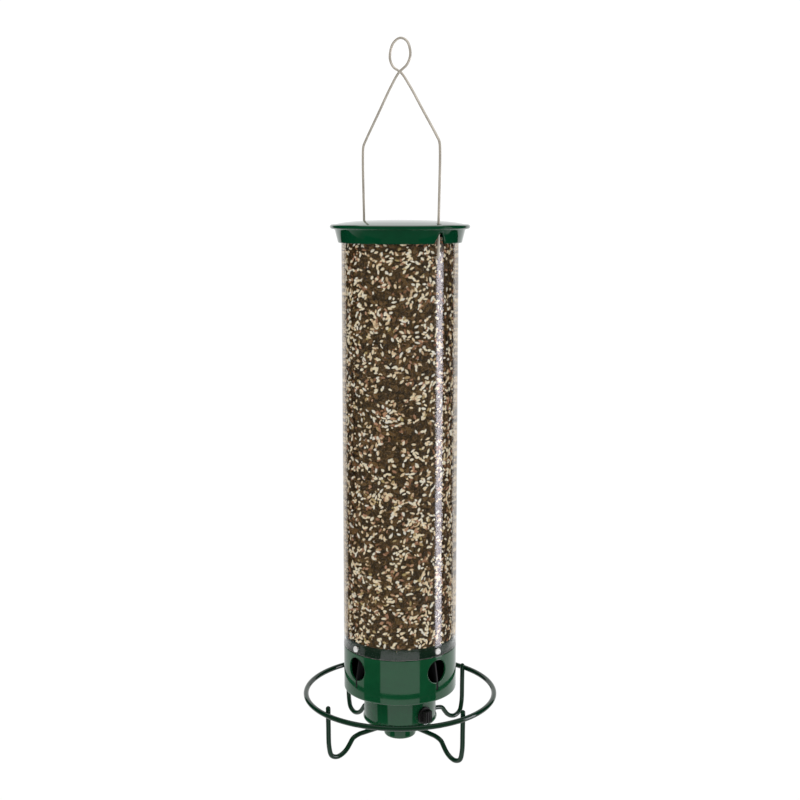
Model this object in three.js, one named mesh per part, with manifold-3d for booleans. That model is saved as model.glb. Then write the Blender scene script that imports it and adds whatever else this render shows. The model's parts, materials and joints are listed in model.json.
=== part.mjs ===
// A hanging clear-tube bird feeder with a sprung, motor-driven perch ring under its seed ports.
// Millimetres, +Z up. The origin is the inside top of the wire hanger's loop, where a hook carries the
// feeder. The four ports are on +X, +Y, -X and -Y, and the hanger's two legs are close to +X and -X.

import * as THREE from 'three';
import { mergeVertices } from 'three/addons/utils/BufferGeometryUtils.js';
import Module from 'manifold-3d';

const wasm = await Module();
wasm.setup();

// ---- Driving dimensions -------------------------------------------------------------------------

const GAP = 0.3;                // clearance between pieces that rest on each other
const QUARTERS = [0, 1, 2, 3];  // the four sides of the feeder, 90 degrees apart

const WIRE_R = 1.3;             // hanger wire
const LEG_R = 58.75;            // distance of a hanger leg from the feeder's axis, beside the tube
const BEND_R = 60.2;            // the same at the shoulder bend, where the legs turn inwards
const BEND_Z = -99;
const CROSS_Z = -31;            // where the two wires cross below the loop
const HOOK_Z = -205;            // where each leg goes through the tube
const HANGER_TURN = -2.5;       // degrees that the legs stand off the X axis

const TUBE_R = 57.15;
const TUBE_WALL = 1.6;
const TUBE_TOP = -174.5;
const TUBE_BOTTOM = -597.5;

const RIM_Z = -176.6;           // centre of the lid's rolled rim
const RIM_R = 66.2;
const BEAD_R = 2.2;
const SKIRT_TOP_R = 63.6;       // the skirt tapers in towards the tube
const SKIRT_BOTTOM_R = 60.4;
const SKIRT_BOTTOM = -192;
const LID_WALL = 1.5;
const SLOT_HALF = 1.8;          // half width of the lid's slots for the hanger legs
const NOTCH_HALF = 6.8;         // half width of the notch below each slot, at the skirt's edge

const COLLAR_TOP = -587;
const SCREW_Z = -592;
const SCREW_HOLE_R = 1.9;
const WALL = 2.2;               // wall of the green mouldings
const PORT_R = 12;
const PORT_Z = -612.8;
const SLOT_BOTTOM = -632.5;     // foot of the keyway below each port
const FLOOR_RIM_Z = -626.6;     // top of the seed floor's flat rim
const FLOOR_RIM_IN = 51;        // radius where the rim turns up into the cone
const FLOOR_SLOPE = Math.tan(THREE.MathUtils.degToRad(25));
const FLOOR_THICK = 1.8;
const DRUM_BOTTOM = -643.5;

const HOUSING_R = 36.8;
const HOUSING_BOTTOM = -672.6;
const BASE_BOTTOM = -677.9;
const POST_CIRCLE = 30.2;       // radius of the housing's four screw posts
const LONG_SCREW_HOLE_R = 1.8;
const BOSS_CIRCLE = 20;         // radius of the four screws that hold the housing to the drum
const SOCKET_Z = -664.5;

const CELL_R = 7.25;            // the four battery cells under the seed floor
const CELL_LENGTH = 49;
const CELL_CIRCLE = 33.2;       // distance of each cell from the feeder's axis
const CELL_Z = DRUM_BOTTOM + WALL + GAP + CELL_R;

const CHASSIS_TOP = -661.8;
const CHASSIS_BOTTOM = -663.5;
const GEAR_MODULE = 0.8;
const GEAR_TEETH = 48;
const PINION_TEETH = 12;
const GEAR_TOP = -665.6;
const GEAR_BOTTOM = -670.6;
const MOTOR_X = -GEAR_MODULE * (GEAR_TEETH + PINION_TEETH) / 2;

const SHAFT_R = 4;
const SHAFT_FLAT = 3.1;         // distance of the shaft's flat from its axis
const PLATE_R = 12;             // trip plate, which the shaft hangs in
const PLATE_TOP = -648.6;
const PLATE_BOTTOM = -650.4;
const SWITCH_Y = 11;            // distance of the switch's button from the axis
const SWITCH_TOP = -656.9;
const BUTTON_TOP = -654.9;

const RING_Z = -650;
const RING_R = 96.3;
const RING_WIRE_R = 2.6;
const FOOT_WIRE_R = 2.4;
const FOOT_ANGLES = [2, 92, 177.5, 268.5];  // the bent feet stand a little off a square cross
const POST_R = RING_R - RING_WIRE_R - FOOT_WIRE_R - GAP;
const TOE_Z = RING_Z - 48.8;    // centre line of a foot at its lowest point
const SPOKE_Z = -682.4;
const HUB_R = 16.3;
const HUB_CORNER = 2.6;
const HUB_TOP = -678.7;
const HUB_SPLIT = -687.3;
const HUB_BOTTOM = -696;

// ---- Materials ----------------------------------------------------------------------------------

const paint = (color, roughness, metalness) =>
  new THREE.MeshStandardMaterial({ color, roughness, metalness });
const greenPlastic = () => paint(0x0b4a2b, 0.25, 0);
const greenSteel = () => paint(0x0d3d26, 0.3, 0.1);
const steel = () => paint(0xc9c6be, 0.3, 1);
const clearPlastic = () => {
  const material = paint(0xf4f6f8, 0.05, 0);
  material.transparent = true;
  material.opacity = 0.25;
  return material;
};
const blackRubber = () => paint(0x151515, 0.8, 0);
const blackPlastic = () => paint(0x1c1c1e, 0.5, 0);
const whitePlastic = () => paint(0xe4e2da, 0.45, 0);
const bronze = () => paint(0xb08a4a, 0.4, 1);
const cellSleeve = () => paint(0x6a7f92, 0.4, 0);

// ---- Shape helpers ------------------------------------------------------------------------------

// A geometry as a closed solid: shared vertices, no collapsed triangles, faces pointing out.
function solid(geometry) {
  const bare = geometry.clone();
  bare.deleteAttribute('normal');
  bare.deleteAttribute('uv');
  const merged = mergeVertices(bare, 1e-4);
  const index = merged.index.array;
  const corner = (i) => new THREE.Vector3().fromBufferAttribute(merged.attributes.position, i);
  const triangles = [];
  let volume = 0;
  for (let i = 0; i < index.length; i += 3) {
    const [a, b, c] = index.slice(i, i + 3);
    if (a === b || b === c || c === a) continue;
    triangles.push([a, b, c]);
    volume += corner(a).dot(corner(b).cross(corner(c)));
  }
  const outward = volume < 0 ? triangles.map(([a, b, c]) => [a, c, b]) : triangles;
  return new wasm.Manifold(new wasm.Mesh({
    numProp: 3,
    vertProperties: new Float32Array(merged.attributes.position.array),
    triVerts: new Uint32Array(outward.flat()),
  }));
}

// A revolved profile of [radius, z] points. It starts and ends on the axis, or closes on itself.
function lathe(profile, segments = 48) {
  const onAxis = profile[0][0] === 0 && profile.at(-1)[0] === 0;
  const outline = onAxis ? profile : [...profile, profile[0]];
  const geometry = new THREE.LatheGeometry(outline.map(([r, z]) => new THREE.Vector2(r, z)), segments);
  geometry.rotateX(Math.PI / 2);
  return solid(geometry);
}

// Points along an arc in the profile plane, from one angle to another, in degrees.
function arc(r, z, radius, from, to, steps) {
  return Array.from({ length: steps + 1 }, (_, i) => {
    const angle = THREE.MathUtils.degToRad(from + (to - from) * i / steps);
    return [r + radius * Math.cos(angle), z + radius * Math.sin(angle)];
  });
}

// The corners of a regular polygon round the origin.
function polygon(radius, sides) {
  return Array.from({ length: sides }, (_, i) => {
    const angle = 2 * Math.PI * i / sides;
    return [radius * Math.cos(angle), radius * Math.sin(angle)];
  });
}

// An upright cylinder, a cylinder along X, and a box, each between two limits.
function upright(radius, low, high, sides = 16) {
  const geometry = new THREE.CylinderGeometry(radius, radius, high - low, sides);
  geometry.rotateX(Math.PI / 2);
  geometry.translate(0, 0, (low + high) / 2);
  return solid(geometry);
}

function alongX(radius, low, high, sides = 16) {
  const geometry = new THREE.CylinderGeometry(radius, radius, high - low, sides);
  geometry.rotateZ(Math.PI / 2);
  geometry.translate((low + high) / 2, 0, 0);
  return solid(geometry);
}

function block([x0, y0, z0], [x1, y1, z1]) {
  const geometry = new THREE.BoxGeometry(x1 - x0, y1 - y0, z1 - z0);
  geometry.translate((x0 + x1) / 2, (y0 + y1) / 2, (z0 + z1) / 2);
  return solid(geometry);
}

// A flat outline of [x, y] points, extruded up from low to high.
function prism(outline, low, high) {
  const shape = new THREE.Shape(outline.map(([x, y]) => new THREE.Vector2(x, y)));
  const geometry = new THREE.ExtrudeGeometry(shape, { depth: high - low, bevelEnabled: false });
  geometry.translate(0, 0, low);
  return solid(geometry);
}

// A curve through hand-picked points, stepped evenly from point to point and not by length, so that
// its tight bends get as many steps as its straights.
class WireRoute extends THREE.CatmullRomCurve3 {
  getPointAt(u) { return this.getPoint(u); }
  getTangentAt(u) { return this.getTangent(u); }
}

// A round wire along a list of [x, y, z] points.
function wire(points, radius, sides, stepsPerPoint) {
  const route = new WireRoute(points.map((p) => new THREE.Vector3(...p)), false, 'centripetal');
  const section = new THREE.Shape(polygon(radius, sides).map(([x, y]) => new THREE.Vector2(x, y)));
  const geometry = new THREE.ExtrudeGeometry(section, {
    steps: stepsPerPoint * (points.length - 1),
    bevelEnabled: false,
    extrudePath: route,
  });
  return solid(geometry);
}

const turned = (shape, quarter) => shape.rotate([0, 0, 90 * quarter]);
const joined = (shapes) => shapes.reduce((whole, shape) => whole.add(shape));
const without = (shape, cuts) => cuts.reduce((rest, cut) => rest.subtract(cut), shape);
const onEachSide = (shape) => QUARTERS.map((quarter) => turned(shape, quarter));
const betweenSides = (shape) => QUARTERS.map((quarter) => turned(shape, quarter + 0.5));
const atLegs = (shape) => [0, 180].map((side) => shape.rotate([0, 0, side + HANGER_TURN]));

// A named mesh from a finished solid.
function piece(name, shape, material) {
  const { vertProperties, triVerts } = shape.getMesh();
  const geometry = new THREE.BufferGeometry();
  geometry.setAttribute('position', new THREE.BufferAttribute(new Float32Array(vertProperties), 3));
  geometry.setIndex(new THREE.BufferAttribute(new Uint32Array(triVerts), 1));
  geometry.computeVertexNormals();
  const mesh = new THREE.Mesh(geometry, material);
  mesh.name = name;
  return mesh;
}

// The same piece at several angles round the axis, numbered from 1.
function copiesAt(angles, name, shape, material) {
  return angles.map((angle, i) => {
    const copy = piece(`${name}_${i + 1}`, shape, material());
    copy.rotation.z = THREE.MathUtils.degToRad(angle);
    return copy;
  });
}

function fourOf(name, shape, material, firstAngle = 0) {
  return copiesAt(QUARTERS.map((quarter) => firstAngle + 90 * quarter), name, shape, material);
}

// ---- Hanger, lid and tube -----------------------------------------------------------------------

// One wire: hook through the tube, leg, shoulder bend, crossing and half the loop, then the same
// again the other way round. The two strands pass each other at the crossing with a small gap.
function hangerWire() {
  const half = [
    [50.6, 0, HOOK_Z - 6], [50.6, 0, HOOK_Z - 3], [51.5, 0, HOOK_Z - 0.8], [53.6, 0, HOOK_Z],
    [56, 0, HOOK_Z], [57.9, 0, HOOK_Z + 0.8], [LEG_R, 0, HOOK_Z + 3], [LEG_R, 0, TUBE_TOP],
    [BEND_R, 0, BEND_Z - 4], [59.1, 0, BEND_Z + 1.5], [54.6, 0.1, BEND_Z + 7.5], [33.5, 0.6, -67],
    [13, 1.2, -43.5], [0, WIRE_R + 0.2, CROSS_Z], [-12.6, 1.1, -24], [-16.6, 0.6, -15.5],
    [-11.9, 0.2, -3.6],
  ];
  const otherHalf = half.map(([x, y, z]) => [-x, -y, z]).reverse();
  const hanger = wire([...half, [0, 0, WIRE_R], ...otherHalf], WIRE_R, 6, 2);
  return piece('hanger_wire', hanger.rotate([0, 0, HANGER_TURN]), steel());
}

function lid() {
  const dome = [[0, RIM_Z + 6.6], [30, RIM_Z + 6], [54, RIM_Z + 4.4], [62.4, RIM_Z + 3]];
  const bead = arc(RIM_R, RIM_Z, BEAD_R, 140, -120, 5);
  const skirtTop = RIM_Z - BEAD_R;
  const skirt = [[SKIRT_TOP_R, skirtTop - 0.8], [SKIRT_BOTTOM_R, SKIRT_BOTTOM],
    [SKIRT_BOTTOM_R - LID_WALL, SKIRT_BOTTOM]];
  const inside = [[SKIRT_TOP_R - LID_WALL, skirtTop], [60, RIM_Z + 1.6], [54, RIM_Z + 3.2],
    [30, RIM_Z + 4.8], [0, RIM_Z + 5.4]];
  const shell = lathe([...dome, ...bead, ...skirt, ...inside]);
  // Each leg runs in a radial slot in the dome, and clears the skirt through a tapered notch.
  const slot = block([57, -SLOT_HALF, RIM_Z - 3], [61.6, SLOT_HALF, RIM_Z + 8]);
  const notchTop = -RIM_Z + 4.9;
  const notchBottom = -SKIRT_BOTTOM + 0.5;
  const notch = prism([
    [notchBottom, -NOTCH_HALF], [notchTop, -SLOT_HALF], [notchTop, SLOT_HALF], [notchBottom, NOTCH_HALF],
  ], 57, 66).rotate([0, 90, 0]);
  return piece('lid', without(shell, [...atLegs(slot), ...atLegs(notch)]), greenPlastic());
}

function clearTube() {
  const inner = TUBE_R - TUBE_WALL;
  const pipe = lathe([
    [inner, TUBE_BOTTOM], [TUBE_R, TUBE_BOTTOM], [TUBE_R, TUBE_TOP], [inner, TUBE_TOP],
  ]);
  const hole = alongX(SCREW_HOLE_R, 50, 62, 8);
  const screwHoles = onEachSide(hole.translate([0, 0, SCREW_Z]));
  const wireHoles = atLegs(hole.translate([0, 0, HOOK_Z]));
  return piece('clear_tube', without(pipe, [...screwHoles, ...wireHoles]), clearPlastic());
}

// ---- Seed drum ----------------------------------------------------------------------------------

// The collar fits inside the tube, the drum below it carries on the tube's outline, and a ledge
// inside carries the seed floor.
function baseDrum() {
  const collar = TUBE_R - TUBE_WALL - GAP;
  const collarInside = collar - WALL;
  const inside = TUBE_R - WALL;
  const shoulder = TUBE_BOTTOM - GAP;
  const ledge = FLOOR_RIM_Z - FLOOR_THICK - GAP;
  const shell = lathe([
    [collar, COLLAR_TOP], [collar, shoulder], [TUBE_R, shoulder],
    ...arc(TUBE_R - 3, DRUM_BOTTOM + 3, 3, 0, -90, 3),
    [PLATE_R, DRUM_BOTTOM], [PLATE_R, DRUM_BOTTOM + WALL], [inside, DRUM_BOTTOM + WALL],
    [inside, ledge - 2], [52.2, ledge - 2], [52.2, ledge], [inside, ledge],
    [inside, shoulder - 3], [collarInside, shoulder], [collarInside, COLLAR_TOP],
  ]);
  const port = alongX(PORT_R, 50, 62, 20).translate([0, 0, PORT_Z]);
  const keyway = block([inside - 0.1, -1.3, SLOT_BOTTOM], [62, 1.3, PORT_Z]);
  const screwHole = alongX(SCREW_HOLE_R, 50, 62, 8).translate([0, 0, SCREW_Z]);
  const plateHole = upright(SCREW_HOLE_R, DRUM_BOTTOM - 1, DRUM_BOTTOM + 4, 8)
    .translate([BOSS_CIRCLE, 0, 0]);
  const cuts = [...onEachSide(port.add(keyway)), ...onEachSide(screwHole), ...betweenSides(plateHole)];
  return piece('base_drum', without(shell, cuts), greenPlastic());
}

// A cone that sheds the seed outwards to the ports, with a flat rim that lies on the drum's ledge.
function seedFloor() {
  const top = FLOOR_RIM_Z + (FLOOR_RIM_IN - 7) * FLOOR_SLOPE;
  const shell = lathe([
    [0, top + 2], [4, top + 1.5], [7, top], [FLOOR_RIM_IN, FLOOR_RIM_Z], [54.5, FLOOR_RIM_Z],
    [54.5, FLOOR_RIM_Z - FLOOR_THICK], [FLOOR_RIM_IN - 0.4, FLOOR_RIM_Z - FLOOR_THICK],
    [6.6, top - FLOOR_THICK], [0, top - FLOOR_THICK + 1],
  ], 32);
  return piece('seed_floor', shell, blackPlastic());
}

// An upright fin in the middle of each port, which keeps the seed from pouring out. Its heel drops
// into the keyway in the drum's wall.
function portBaffles() {
  const wallInside = TUBE_R - WALL;
  const foot = FLOOR_RIM_Z + 0.5;
  const heelTop = foot + 1.7;
  const top = -603.6;
  const back = 44;
  const fin = prism([
    [back, foot + (FLOOR_RIM_IN - back) * FLOOR_SLOPE], [FLOOR_RIM_IN, foot], [wallInside - 0.7, foot],
    [wallInside - 0.7, heelTop], [wallInside + GAP, heelTop], [wallInside + GAP, SLOT_BOTTOM + 0.5],
    [TUBE_R - 0.2, SLOT_BOTTOM + 0.5], [TUBE_R - 0.2, heelTop + 2.4], [54.4, top - 4], [53.4, top],
    [back + 2, top], [back, top - 2.4],
  ], -1, 1).rotate([90, 0, 0]);
  return fourOf('port_baffle', fin, blackPlastic);
}

// Round-head screws through the tube into the drum's collar.
function collarScrews() {
  const head = lathe([[0, 0], [3.2, 0], [3, 1.1], [1.9, 2.1], [0, 2.5]], 10);
  const screw = head.add(upright(1.5, -6.4, 0.5, 8))
    .rotate([0, 90, 0]).translate([TUBE_R + GAP, 0, SCREW_Z]);
  return fourOf('collar_screw', screw, steel);
}

// ---- Battery pack, in the space under the seed floor ---------------------------------------------

// Four rechargeable cells lying in a square round the shaft, each with a small raised pole.
function batteryCells() {
  const half = CELL_LENGTH / 2;
  const cell = lathe([
    [0, -half], [CELL_R, -half], [CELL_R, half - 1], [2.7, half - 1], [2.7, half], [0, half],
  ], 14).rotate([90, 0, 0]).translate([CELL_CIRCLE, 0, CELL_Z]);
  return fourOf('battery_cell', cell, cellSleeve);
}

// Bent metal straps that join the cells at three corners of the square.
function cellStraps() {
  const near = CELL_LENGTH / 2 + GAP + 0.1;
  const far = CELL_CIRCLE + 3;
  const sheet = 0.5;
  const strap = prism([
    [far, near], [CELL_CIRCLE - 3, near], [near, CELL_CIRCLE - 3], [near, far], [near + sheet, far],
    [near + sheet, CELL_CIRCLE - 2.8], [CELL_CIRCLE - 2.8, near + sheet], [far, near + sheet],
  ], CELL_Z - 2.5, CELL_Z + 2.5);
  return [1, 2, 3].map((number) => {
    const copy = piece(`cell_strap_${number}`, strap, steel());
    copy.rotation.z = number * Math.PI / 2;
    return copy;
  });
}

// ---- Motor housing -------------------------------------------------------------------------------

// A cup screwed up under the drum. Four posts inside it take the base's screws, and a flat pad
// outside carries the charging socket.
function motorHousing() {
  const top = DRUM_BOTTOM - GAP;
  const inside = HOUSING_R - WALL;
  const cup = lathe([
    [PLATE_R, top], [HOUSING_R, top], [HOUSING_R, HOUSING_BOTTOM], [inside, HOUSING_BOTTOM],
    [inside, top - WALL], [PLATE_R, top - WALL],
  ], 36);
  const post = upright(3.4, CHASSIS_TOP + GAP, top - 1, 10).translate([POST_CIRCLE, 0, 0]);
  const rib = block([POST_CIRCLE, -1, CHASSIS_TOP + GAP], [inside + 1, 1, top - 1]);
  const boss = upright(3.2, top - 8, top - 1, 10).translate([BOSS_CIRCLE, 0, 0]);
  const pad = alongX(9.6, 33, HOUSING_R + 0.1, 24)
    .intersect(upright(HOUSING_R + 2, HOUSING_BOTTOM + 0.2, top - 2, 36)).translate([0, 0, SOCKET_Z]);
  const body = joined([cup, ...betweenSides(post.add(rib)), ...betweenSides(boss)]);
  const padOnly = pad.subtract(upright(inside, BASE_BOTTOM, top - 1, 36));
  const cuts = [
    ...betweenSides(upright(1.2, CHASSIS_TOP - 1, top - 3, 8).translate([POST_CIRCLE, 0, 0])),
    ...betweenSides(upright(SCREW_HOLE_R, top - 7, top + 1, 8).translate([BOSS_CIRCLE, 0, 0])),
    alongX(4.3, 30, 40, 20).translate([0, 0, SOCKET_Z]),
  ];
  return piece('motor_housing', without(body.add(padOnly), cuts), greenPlastic());
}

// The dished cover under the housing, with a rolled edge, a spigot and a boss for the shaft's bush.
function housingBase() {
  const floor = BASE_BOTTOM + 2.4;
  const spigot = HOUSING_R - WALL - GAP;
  const shell = lathe([
    [6.4, BASE_BOTTOM], [35.3, BASE_BOTTOM], ...arc(35.3, BASE_BOTTOM + 2.5, 2.5, -60, 60, 3),
    [HOUSING_R, HOUSING_BOTTOM - GAP], [spigot, HOUSING_BOTTOM - GAP], [spigot, HOUSING_BOTTOM + 2],
    [spigot - 2, HOUSING_BOTTOM + 2], [spigot - 2, floor], [9, floor], [9, floor + 2.6],
    [6.4, floor + 2.6],
  ], 36);
  const post = upright(3.2, BASE_BOTTOM + 1, CHASSIS_BOTTOM - GAP, 10).translate([POST_CIRCLE, 0, 0]);
  const hole = upright(LONG_SCREW_HOLE_R, BASE_BOTTOM - 1, CHASSIS_BOTTOM + 1, 8)
    .translate([POST_CIRCLE, 0, 0]);
  const base = joined([shell, ...betweenSides(post)]);
  return piece('housing_base', without(base, betweenSides(hole)), greenPlastic());
}

// Four screws down through the drum's bottom into the housing, and four long ones up through the
// base and the chassis plate into the housing's posts.
function housingScrews() {
  const seat = DRUM_BOTTOM + WALL + GAP;
  const screw = upright(3, seat, seat + 2, 8).add(upright(1.5, seat - 9, seat + 1, 8));
  return fourOf('housing_screw', screw.translate([BOSS_CIRCLE, 0, 0]), steel, 45);
}

function coverScrews() {
  const seat = BASE_BOTTOM - GAP;
  const head = lathe([[0, seat], [2.8, seat], [2.6, seat - 0.7], [1.6, seat - 1.1], [0, seat - 1.2]], 8);
  const shank = upright(0.9, seat - 0.5, CHASSIS_TOP + 8, 6);
  return fourOf('cover_screw', head.add(shank).translate([POST_CIRCLE, 0, 0]), steel, 45);
}

// ---- Drive ---------------------------------------------------------------------------------------

// A round plate across the housing that carries the motor and the switch, and seats the spring.
function chassisPlate() {
  const plate = upright(HOUSING_R - WALL - GAP, CHASSIS_BOTTOM, CHASSIS_TOP, 36);
  const cuts = [
    upright(SHAFT_R + 0.6, CHASSIS_BOTTOM - 1, CHASSIS_TOP + 1, 24),
    upright(2.2, CHASSIS_BOTTOM - 1, CHASSIS_TOP + 1, 16).translate([MOTOR_X, 0, 0]),
    block([21.6, -5, CHASSIS_BOTTOM - 1], [40, 5, CHASSIS_TOP + 1]),
    ...betweenSides(upright(LONG_SCREW_HOLE_R, CHASSIS_BOTTOM - 1, CHASSIS_TOP + 1, 8)
      .translate([POST_CIRCLE, 0, 0])),
  ];
  return piece('chassis_plate', without(plate, cuts), steel());
}

// A gear outline with straight-sided teeth. phase turns it, in teeth.
function gearOutline(teeth, phase) {
  const pitch = GEAR_MODULE * teeth / 2;
  const corners = [[-0.3, -1.15], [-0.1, 0.9], [0.1, 0.9], [0.3, -1.15]];
  return Array.from({ length: teeth }, (_, tooth) => corners.map(([turn, height]) => {
    const angle = 2 * Math.PI * (tooth + phase + turn) / teeth;
    const radius = pitch + height * GEAR_MODULE;
    return [radius * Math.cos(angle), radius * Math.sin(angle)];
  })).flat();
}

// The section of the shaft and of the holes that it drives: a circle with one flat.
function keyedBar(radius, flat, low, high) {
  return upright(radius, low, high, 20).subtract(block([flat, -20, low - 1], [20, 20, high + 1]));
}

function outputGear() {
  const gear = prism(gearOutline(GEAR_TEETH, 0), GEAR_BOTTOM, GEAR_TOP);
  const hub = upright(7, GEAR_TOP - 1, CHASSIS_BOTTOM - GAP, 20);
  const bore = keyedBar(SHAFT_R + GAP, SHAFT_FLAT + GAP, GEAR_BOTTOM - 1, GEAR_TOP + 3);
  return piece('output_gear', gear.add(hub).subtract(bore), whitePlastic());
}

function drivePinion() {
  const gear = prism(gearOutline(PINION_TEETH, 0.5), GEAR_BOTTOM - 0.4, GEAR_TOP + 0.6);
  const bore = upright(1 + 0.05, GEAR_BOTTOM - 2, GEAR_TOP + 2, 10);
  const pinion = piece('drive_pinion', gear.subtract(bore), bronze());
  pinion.position.x = MOTOR_X;
  return pinion;
}

function motorShaft() {
  const shaft = piece('motor_shaft', upright(0.75, GEAR_BOTTOM - 1, CHASSIS_TOP + 9, 10), steel());
  shaft.position.x = MOTOR_X;
  return shaft;
}

function motorCan() {
  const low = CHASSIS_TOP + GAP;
  const high = DRUM_BOTTOM - GAP - WALL - GAP;
  const well = CHASSIS_TOP + 10;
  const can = lathe([[0, high], [9.2, high], [10, high - 0.8], [10, low + 0.8], [9.2, low], [1.2, low],
    [1.2, well], [0, well]], 28);
  const motor = piece('motor', can, steel());
  motor.position.x = MOTOR_X;
  return motor;
}

function shaftBush() {
  const bore = SHAFT_R + 0.35;
  const low = BASE_BOTTOM + 0.2;
  const seat = BASE_BOTTOM + 5 + GAP;
  const high = seat + 1.2;
  const bush = lathe([[bore, low], [6.1, low], [6.1, seat], [8, seat], [8, high], [bore, high]], 20);
  return piece('shaft_bush', bush, bronze());
}

// The shaft hangs by its clip in the trip plate, passes through the gear and the bush, and carries
// the hub on its lower end.
function perchShaft() {
  const bar = keyedBar(SHAFT_R, SHAFT_FLAT, HUB_SPLIT - 5.2, PLATE_TOP + 3.2);
  const groove = lathe([[2.9, PLATE_TOP + 0.2], [6, PLATE_TOP + 0.2], [6, PLATE_TOP + 1.9],
    [2.9, PLATE_TOP + 1.9]], 20);
  return piece('perch_shaft', bar.subtract(groove), steel());
}

function shaftClip() {
  const inner = SHAFT_FLAT + 0.05;
  const low = PLATE_TOP + GAP;
  const high = PLATE_TOP + 1.6;
  const washer = lathe([[inner, low], [7, low], [7, high], [inner, high]], 20);
  const mouth = block([0, -1.4, low - 1], [9, 1.4, high + 1]);
  return piece('shaft_clip', washer.subtract(mouth), steel());
}

function tripPlate() {
  const disc = lathe([[SHAFT_R + 0.4, PLATE_BOTTOM], [PLATE_R, PLATE_BOTTOM], [PLATE_R, PLATE_TOP],
    [SHAFT_R + 0.4, PLATE_TOP]], 28);
  return piece('trip_plate', disc, whitePlastic());
}

// A coil spring round the shaft between the chassis plate and the trip plate.
function returnSpring() {
  const wireR = 0.45;
  const coilR = 6.4;
  const turns = 4;
  const low = CHASSIS_TOP + GAP + wireR;
  const high = PLATE_BOTTOM - GAP - wireR;
  const stepsPerTurn = 12;
  const steps = turns * stepsPerTurn;
  const points = Array.from({ length: steps + 1 }, (_, i) => {
    const angle = 2 * Math.PI * i / stepsPerTurn;
    return [coilR * Math.cos(angle), coilR * Math.sin(angle), low + (high - low) * i / steps];
  });
  return piece('return_spring', wire(points, wireR, 5, 1), steel());
}

// A small switch beside the shaft. The trip plate comes down on its button.
function tripSwitch() {
  const body = block([-2.9, 9.2, CHASSIS_TOP + GAP], [2.9, 21.8, SWITCH_TOP]);
  const well = upright(1.3, SWITCH_TOP - 3, SWITCH_TOP + 1, 12).translate([0, SWITCH_Y, 0]);
  return piece('trip_switch', body.subtract(well), blackPlastic());
}

function switchButton() {
  const button = upright(1, SWITCH_TOP - 1.5, BUTTON_TOP, 12).translate([0, SWITCH_Y, 0]);
  return piece('switch_button', button, whitePlastic());
}

// ---- Charging socket -----------------------------------------------------------------------------

function chargeJack() {
  const barrel = lathe([[0, -13.6], [3.9, -13.6], [3.9, 0], [2.9, 0], [2.9, -11], [0, -11]], 20);
  const jack = barrel.rotate([0, 90, 0]).translate([HOUSING_R - 0.1, 0, SOCKET_Z]);
  return piece('charge_jack', jack, blackPlastic());
}

// A rubber plug for the socket: a stem, a round flange on the housing's pad and a ribbed finger grip.
function socketCap() {
  const seat = HOUSING_R + 0.1 + GAP;
  const flange = alongX(8.6, seat, seat + 2, 28);
  const stem = alongX(2.4, seat - 8, seat + 1, 14);
  const grip = block([seat + 1, -4, -6], [seat + 8, 4, 6]);
  const ribCut = (y) => block([seat + 7, y - 0.5, -7], [seat + 9, y + 0.5, 7]);
  const cap = without(joined([flange, stem, grip]), [-2.4, 0, 2.4].map(ribCut));
  return piece('socket_cap', cap.translate([0, 0, SOCKET_Z]), blackRubber());
}

// ---- Perch ---------------------------------------------------------------------------------------

// Moulded upper half of the hub: it clamps the four feet and is keyed to the shaft.
function hubBody() {
  const disc = lathe([[0, HUB_TOP], [HUB_R - 0.6, HUB_TOP], [HUB_R, HUB_TOP - 0.6], [HUB_R, HUB_SPLIT],
    [0, HUB_SPLIT]], 28);
  const bore = keyedBar(SHAFT_R + GAP, SHAFT_FLAT + GAP, HUB_SPLIT - 1, HUB_TOP + 1);
  const footHole = alongX(FOOT_WIRE_R + GAP, 7.6, 20, 12).translate([0, 0, SPOKE_Z]);
  const footHoles = FOOT_ANGLES.map((angle) => footHole.rotate([0, 0, angle]));
  return piece('hub_body', without(disc, [bore, ...footHoles]), greenPlastic());
}

function hubNut() {
  const high = HUB_SPLIT - GAP;
  const bore = upright(SHAFT_R + GAP, high - 5, high + 1, 20);
  const nut = prism(polygon(6.4, 6), high - 3.2, high).subtract(bore);
  return piece('hub_nut', nut, steel());
}

function hubCap() {
  const high = HUB_SPLIT - GAP;
  const cup = lathe([
    [0, HUB_BOTTOM], ...arc(HUB_R - HUB_CORNER, HUB_BOTTOM + HUB_CORNER, HUB_CORNER, -90, 0, 3),
    [HUB_R, high], [HUB_R - WALL, high], [HUB_R - WALL, HUB_BOTTOM + 3],
    [HUB_R - WALL - 1, HUB_BOTTOM + 2], [0, HUB_BOTTOM + 2],
  ], 28);
  return piece('hub_cap', cup, greenPlastic());
}

function perchRing() {
  const ring = lathe(polygon(RING_WIRE_R, 6).map(([r, z]) => [RING_R + r, RING_Z + z]), 60);
  return piece('perch_ring', ring, greenSteel());
}

// Four bent feet: an upright post inside the ring, a rounded toe and a spoke in to the hub.
function perchFeet() {
  const foot = wire([
    [POST_R, 0, RING_Z + 6.7], [POST_R - 0.2, 0, RING_Z - 14], [POST_R - 1, 0, TOE_Z + 12],
    [87.2, 0, TOE_Z + 3.2], [80.6, 0, TOE_Z], [74, 0, TOE_Z + 1.2], [68.6, 0, TOE_Z + 4.6],
    [64.6, 0, TOE_Z + 9.2], [60.5, 0, SPOKE_Z - 2.4], [53, 0, SPOKE_Z - 0.2], [45, 0, SPOKE_Z],
    [30, 0, SPOKE_Z], [8, 0, SPOKE_Z],
  ], FOOT_WIRE_R, 6, 2);
  return copiesAt(FOOT_ANGLES, 'perch_foot', foot, greenSteel);
}

// ---- Assembly ------------------------------------------------------------------------------------

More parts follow.
